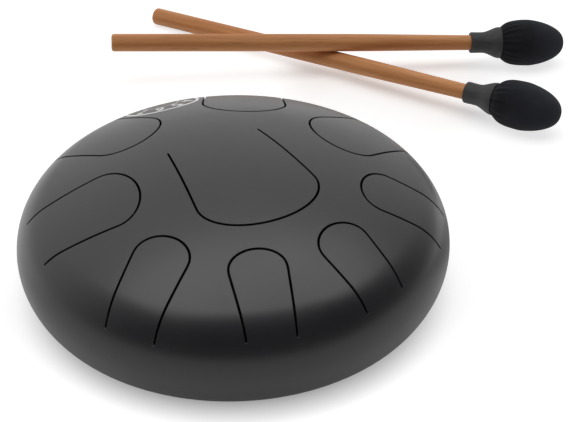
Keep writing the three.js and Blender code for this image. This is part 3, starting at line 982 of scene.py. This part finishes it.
def sleeve_mesh(name, seed):
    """The collar: straight on the stick, flared over the back of the head and a little puckered."""
    tight = NECK_RADIUS + CLEARANCE / 2
    straight = NECK_RADIUS + CLEARANCE + SLEEVE_WALL
    hollow = BINDING_RADIUS + CLEARANCE
    crown_long, crown_wide = CROWN_LENGTH + SLEEVE_FIT, HEAD_RADIUS + SLEEVE_FIT
    lip_turn = math.asin(((BELLY - SLEEVE_END) / crown_long) ** (1 / CROWN_TAPER))
    mouth = []
    for turn in np.linspace(math.acos(hollow / crown_wide), lip_turn, 17):
        mouth.append((crown_wide * math.cos(turn), BELLY - crown_long * math.sin(turn) ** CROWN_TAPER))
    lip = mouth[-1][0] + SLEEVE_LIP
    flare_end, plain_end = SLEEVE_END - SLEEVE_FLARE, SLEEVE_START + SLEEVE_END_INSET
    lip_round, end_round = SLEEVE_LIP_ROUND, SLEEVE_END_ROUND
    profile = [(tight, SLEEVE_START), (tight, TENON_START), (hollow, TENON_START)] + mouth
    profile += arc_points(lip - lip_round, SLEEVE_END - SLEEVE_LIP_INSET, lip_round, 0, 80, 4)
    for share in np.linspace(1, 0, 25)[1:]:
        radius = straight + (lip - straight) * (1 - math.cos(math.pi * share)) / 2
        profile.append((radius, SLEEVE_END - SLEEVE_FLARE * (1 - share)))
    profile += [(straight, s) for s in np.linspace(flare_end, plain_end, 9)[1:]]
    profile += arc_points(straight - end_round, SLEEVE_START + end_round, end_round, 90, 180, 5)

    def pucker(angle, station, radius):
        if radius <= hollow + TINY or station < SLEEVE_START + PUCKER_INSET:
            return 0.0
        share = (station - SLEEVE_START) / SLEEVE_LENGTH
        folds = math.cos(5 * angle + seed) * 0.5 + math.cos(9 * angle + 2.3 * seed + 3 * share) * 0.35
        ring = math.cos(14 * share + 2 * math.cos(2 * angle + seed))
        swell = math.sin(math.pi * min(1.0, share * 1.05))
        return PUCKER_DEPTH * swell * folds + CREASE_DEPTH * ring * (1 - share)

    return turned_mesh(name, profile, LONG_SEGMENTS, closed=True, ripple=pucker)


def core_mesh(name):
    """The egg under the cloth, an even inset of the head's outline, with a blind bore for the tenon."""
    crown_steps, nose_steps = 14, 20
    inset = COVER_THICKNESS + CLEARANCE + GATHER_DEPTH
    bore = TENON_RADIUS + CLEARANCE
    wide = HEAD_RADIUS - inset
    neck_turn = math.acos(bore / wide)
    profile = [(0, TENON_END + CLEARANCE), (bore, TENON_END + CLEARANCE)]
    for share in np.linspace(1, 0, crown_steps + 1):
        turn = neck_turn * share**2
        profile.append((wide * math.cos(turn),
                        BELLY - (CROWN_LENGTH - inset) * math.sin(turn) ** CROWN_TAPER))
    for turn in np.linspace(0, math.pi / 2, nose_steps + 1)[1:-1]:
        profile.append((wide * math.cos(turn) ** NOSE_BLUNTNESS,
                        BELLY + (NOSE_LENGTH - inset) * math.sin(turn) ** NOSE_TAPER))
    return turned_mesh(name, profile + [(0, MALLET_LENGTH - inset)], SHORT_SEGMENTS)


def cover_mesh(name, seed):
    mesh = grown_mesh(name, COVER_TREE, {
        "Head radius": HEAD_RADIUS * MM, "Nose length": NOSE_LENGTH * MM, "Nose taper": NOSE_TAPER,
        "Nose bluntness": NOSE_BLUNTNESS, "Crown length": CROWN_LENGTH * MM, "Crown taper": CROWN_TAPER,
        "Neck radius": COVER_NECK * MM, "Tail length": COVER_TAIL * MM,
        "Gathers": GATHERS, "Gather depth": GATHER_DEPTH * MM,
        "Gather start": (SLEEVE_END - BELLY) * MM, "Gather fade": GATHER_FADE * MM,
        "Slack": COVER_SLACK * MM, "Seed": seed, "Fabric": FABRIC,
    }, COVER_THICKNESS)
    mesh.transform(Matrix.Translation((0, 0, BELLY * MM)))
    return mesh


def thread_mesh(name):
    mesh = grown_mesh(name, THREAD_TREE, {
        "Turns": BINDING_TURNS, "Radius": (BINDING_RADIUS - BINDING_THICKNESS / 2) * MM,
        "Length": (BINDING_LENGTH - BINDING_THICKNESS) * MM, "Thickness": BINDING_THICKNESS * MM,
        "Thread": THREAD,
    })
    mesh.transform(Matrix.Translation((0, 0, (BINDING_START + BINDING_THICKNESS / 2) * MM)))
    return mesh


def lay_mallet(mallet, tilt, crossing_height):
    """One mallet's pieces, made along +Z from the butt and laid so that its axis has this height there."""
    name, heading, crossing_station, seed = mallet
    turn = Matrix.Rotation(math.radians(heading), 4, "Z") @ Matrix.Rotation(math.pi / 2 - tilt, 4, "Y")
    crossing = Vector((*DRUM_AXIS, 0)) + Vector((*CROSSING, crossing_height)) * MM
    laid = Matrix.Translation(crossing) @ turn @ Matrix.Translation((0, 0, -crossing_station * MM))
    makers = (
        ("stick", stick_mesh, WOOD, "stained_wood"),
        ("core", core_mesh, CORE_RUBBER, "core_rubber"),
        ("cover", lambda n: cover_mesh(n, seed), FABRIC, "head_fabric"),
        ("binding", thread_mesh, THREAD, "binding_thread"),
        ("sleeve", lambda n: sleeve_mesh(n, seed), SLEEVE_RUBBER, "sleeve_rubber"),
    )
    for part, make, material, slot in makers:
        mesh = make(f"{name}_{part}_looks")
        mesh.transform(laid)
        piece = link_piece(f"{name}_{part}_looks", mesh, material, name, [f"{name}_{part}"])
        part == "cover"


def lay_mallets():
    """The lower mallet rests on its butt and head, the upper one on the lower stick and its own head."""
    lower_tilt = math.asin((HEAD_RADIUS - BUTT_RADIUS) / (BELLY - BUTT_ROUND))
    lower_height = BUTT_RADIUS + (LOWER_MALLET[2] - BUTT_ROUND) * math.sin(lower_tilt)
    upper_height = lower_height + 2 * BUTT_RADIUS + CLEARANCE
    upper_tilt = -math.asin((upper_height - HEAD_RADIUS) / (BELLY - UPPER_MALLET[2]))
    lay_mallet(LOWER_MALLET, lower_tilt, lower_height)
    lay_mallet(UPPER_MALLET, upper_tilt, upper_height)


lay_mallets()


def oval(x, y, wide, high, start=0, end=360):
    """Points along an oval. Angles are in degrees."""
    turn = np.radians(np.linspace(start, end, OVAL_POINTS))
    return np.column_stack([x + wide * np.cos(turn), y + high * np.sin(turn)])


def figure_lines():
    """Pen lines and closed ovals of the figures 1 to 9, in shares of their height from the middle."""
    hook = oval(0, 0.21, 0.24, 0.23, 165, -38)
    bow = oval(0, -0.15, 0.25, 0.29, 140, -140)
    stem, loop = oval(0.14, -0.18, 0.38, 0.62, 90, 166), (0, -0.18, 0.24, 0.26)
    return [
        ([[(-0.16, 0.28), (0.02, 0.41)], [(0.04, 0.44), (0.04, -0.44)]], []),
        ([np.vstack([hook, (-0.22, -0.41)]), [(-0.25, -0.44), (0.26, -0.44)]], []),
        ([oval(0, 0.22, 0.22, 0.22, 150, -75), oval(0, -0.22, 0.25, 0.22, 90, -150)], []),
        ([[(0.07, 0.40), (-0.26, -0.15)], [(-0.28, -0.17), (0.28, -0.17)],
          [(0.10, 0.44), (0.10, -0.44)]], []),
        ([[(0.22, 0.44), (-0.17, 0.44)], [(-0.165, 0.41), (-0.188, 0.07)], bow], []),
        ([stem], [loop]),
        ([[(-0.25, 0.44), (0.25, 0.44)], [(0.235, 0.41), (-0.08, -0.44)]], []),
        ([], [(0, 0.23, 0.20, 0.20), (0, -0.21, 0.25, 0.225)]),
        ([-stem], [(0, 0.18, 0.24, 0.26)]),
    ]


def flat_figure(lines, ovals):
    """A figure's lines drawn with a pen and joined, as flat triangles."""
    half = FIGURE_LINE / 2
    pen_lines = [resampled(np.array(line) * FIGURE_HEIGHT, PEN_STEP) for line in lines]
    outlines = [band_outline(line, half)[::-1] for line in pen_lines]
    solid, hollow = list(range(len(lines))), {}
    for sizes in ovals:
        x, y, wide, high = np.array(sizes) * FIGURE_HEIGHT
        solid.append(len(outlines))
        hollow[len(outlines)] = len(outlines) + 1
        outlines += [oval(x, y, wide + swell, high + swell)[:-1] for swell in (half, -half)]
    ends = np.cumsum([len(outline) for outline in outlines])
    loops = [list(range(end - len(outline), end)) for outline, end in zip(outlines, ends)]
    found = delaunay_2d_cdt([Vector(p) for p in np.vstack(outlines)], [], loops, 0, PRINT_MERGE, True)
    points, _, faces, _, _, inside = found
    inked = [f for f, ids in zip(faces, inside) if any(i in ids and hollow.get(i) not in ids for i in solid)]
    return np.array(points), inked


def flat_ring(radius, line):
    """A printed ring as flat quads."""
    heading = circle(DIAL_POINTS)
    points = np.vstack([(radius - line) * heading, radius * heading])
    inner, after = np.arange(DIAL_POINTS), np.roll(np.arange(DIAL_POINTS), -1)
    return points, np.column_stack([inner, inner + DIAL_POINTS, after + DIAL_POINTS, after]).tolist()


def dial_mesh():
    """The dial's lines and figures, bent onto the dome as a thin film. A player in front reads it upright."""
    points, faces = [], []

    def add(flat, flat_faces):
        base = sum(len(p) for p in points)
        points.append(flat)
        faces.extend([[base + i for i in f] for f in flat_faces])

    add(*flat_ring(DIAL_RADIUS, DIAL_LINE))
    add(*flat_ring(DIAL_INNER, DIAL_INNER_LINE))
    figures = figure_lines()
    for i, figure in enumerate(figures):
        turn = -2 * math.pi * i / len(figures)
        flat, flat_faces = flat_figure(*figure)
        spin = np.array([[math.cos(turn), math.sin(turn)], [-math.sin(turn), math.cos(turn)]])
        add((flat + np.array([0, FIGURE_RADIUS])) @ spin, flat_faces)
    flat = np.vstack(points)
    length = DIAL_LENGTH + flat[:, 1]
    radius = np.interp(length, DOME_SHEET.length, DOME_SHEET.radius)
    bearing = math.radians(DIAL_BEARING + FRONT_BEARING) - flat[:, 0] / radius
    blank = length[:, None] * np.column_stack([np.cos(bearing), np.sin(bearing)])
    place, _ = DOME_SHEET.at(blank, -PRINT_LIFT)
    mesh = bpy.data.meshes.new("dial_face")
    mesh.from_pydata(drum_points(place).tolist(), [], faces)
    holder = linked("dial_holder", mesh)
    add_wall(holder, PRINT_THICKNESS, 1.0)
    return plain_mesh("note_dial", holder)


link_piece("note_dial", dial_mesh(), PRINT, "drum")


def pale_floor():
    """A wide white floor that keeps the object's shadows. Its distances are in metres.

    For the camera it glows more before the drum, a painted light that thins the drum's shadow there, and it
    glows less by the sticks, a painted shade that greys the floor and deepens their shadows. In reflections
    it is dimmed before the drum and at its right side, a painted shade in the drum's reflections. Where the
    drum covers it and
    in a ring just past its edge, it is dark: a painted shadow.
    """
    half = 6.0
    # a painted shadow round the drum fades out between the first two distances; painted shade in its
    # reflections ends at the third
    covered, painted_shadow_end, past_shade = 0.070, 0.108, 0.122  # from the drum's axis
    # painted shade round the sticks: there the floor glows less and is greyer, so their shadows show deeper
    sticks, sticks_near, sticks_far = (0.092, 0.174), 0.042, 0.078
    # painted shade in the drum's reflections: the floor mirrors dimmer before the drum and at its right
    front_level, right_level = 0.66, 0.3  # share of white in the drum's own reflections
    white_matt, mirror_glow, camera_glow, front_painted_glow = 0.5, 0.7, 0.03, 0.27
    stick_matt, stick_glow = 1.0, 0.3
    # the last grey is the dark floor of the painted shadow and of the painted shade in reflections
    bounce_matt, painted_shadow_matt = 0.9, 0.25
    made, tree = new_material("floor")
    place = object_place(tree)
    across = Wire.node(tree, "ShaderNodeSeparateXYZ", {}, {"Vector": place}, out="X")
    to_right, to_back = across - DRUM_AXIS[0], across.other("Y") - DRUM_AXIS[1]
    camera = Wire.node(tree, "ShaderNodeLightPath", out="Is Camera Ray")
    mirror = camera.other("Is Glossy Ray")
    seen = camera.math("MAXIMUM", mirror).math("MAXIMUM", camera.other("Is Transmission Ray"))

    def distance(x, y):
        ends = {0: place, 1: (DRUM_AXIS[0] + x, DRUM_AXIS[1] + y, 0.0)}
        return Wire.node(tree, "ShaderNodeVectorMath", {"operation": "DISTANCE"}, ends, out="Value")

    def matt(level):
        return Wire.node(tree, "ShaderNodeBsdfDiffuse", {}, {"Color": grey(level)})

    def glowing(level, glow):
        light = Wire.node(tree, "ShaderNodeEmission", {}, {"Color": glow})
        return Wire.node(tree, "ShaderNodeAddShader", {}, {0: matt(level), 1: light})

    def blended(share, first, second):
        return Wire.node(tree, "ShaderNodeMixShader", {}, {0: share, 1: first, 2: second})

    # painted light: before the drum the floor glows more for the camera, which thins the drum's shadow there
    before = (1 - to_back.smooth(-0.12, -0.02)) * camera
    # painted shade by the sticks
    stick_painted_shade = (1 - distance(*sticks).smooth(sticks_near, sticks_far)) * camera
    white = glowing(white_matt, mirror_glow + camera_glow * camera + front_painted_glow * before)
    white = blended(stick_painted_shade, white, glowing(stick_matt, grey(stick_glow)))
    away = distance(0, 0)
    # painted shadow: the floor is dark under the drum and in a ring just past its edge
    outside_painted_shadow = away.smooth(covered, painted_shadow_end)
    # painted shade in reflections: dimmer before the drum, near it and at its right side
    behind = to_back.smooth(-0.03, 0.08)
    beside = to_back.smooth(-0.02, 0.03) * (1 - to_back.smooth(0.05, 0.11))
    right = to_right.smooth(0.04, 0.12) * beside
    painted_reflection_white = (front_level + (1 - front_level) * behind) * away.smooth(covered, past_shade)
    painted_reflection_white = painted_reflection_white * (1 - (1 - right_level) * right)
    clear = outside_painted_shadow + (painted_reflection_white - outside_painted_shadow) * mirror
    both = blended(seen, matt(bounce_matt), blended(clear, matt(painted_shadow_matt), white))
    Wire.node(tree, "ShaderNodeOutputMaterial", {}, {"Surface": both})
    mesh = bpy.data.meshes.new("floor")
    corners = [(-half, -half, 0), (half, -half, 0), (half, half, 0), (-half, half, 0)]
    mesh.from_pydata(corners, [], [range(4)])
    mesh.materials.append(made)
    linked("floor", mesh)


def studio_light():
    """A soft panel above and behind the drum in a dim room that is darkest on the camera's side."""
    dark, light = 0.08, 0.9
    heading_right, heading_back = -0.38, 0.92  # towards the lightest side of the room
    panel_size, panel_place, panel_turn = (1.8, 0.75), (0.15, 0.1, 1.25), math.radians(12)
    radiance = 1.75
    world = bpy.data.worlds.new("studio")
    world.use_nodes = True
    tree = world.node_tree
    tree.nodes.clear()
    camera = Wire.node(tree, "ShaderNodeLightPath", out="Is Camera Ray")
    heading = Wire.node(tree, "ShaderNodeTexCoord", out="Generated")
    across = Wire.node(tree, "ShaderNodeSeparateXYZ", {}, {"Vector": heading}, out="X")
    to_back = across.other("Y") * heading_back + across * heading_right
    lit = to_back.smooth(-0.35, 0.75) * (0.75 + 0.25 * across.other("Z").smooth(0.0, 0.4))
    dim = Wire.node(tree, "ShaderNodeBackground", {}, {"Color": mixed(tree, lit, grey(dark), grey(light))})
    white = Wire.node(tree, "ShaderNodeBackground", {}, {"Color": grey(1)})
    both = Wire.node(tree, "ShaderNodeMixShader", {}, {0: camera, 1: dim, 2: white})
    Wire.node(tree, "ShaderNodeOutputWorld", {}, {"Surface": both})
    bpy.context.scene.world = world

    panel = bpy.data.lights.new("overhead_panel", "AREA")
    panel.shape = "RECTANGLE"
    panel.size, panel.size_y = panel_size
    panel.energy = radiance * math.pi * panel.size * panel.size_y
    lamp = linked("overhead_panel", panel)
    lamp.location = Vector((*DRUM_AXIS, 0)) + Vector(panel_place)
    lamp.rotation_euler = (0, 0, panel_turn)
    lamp.visible_camera = False


pale_floor()
studio_light()
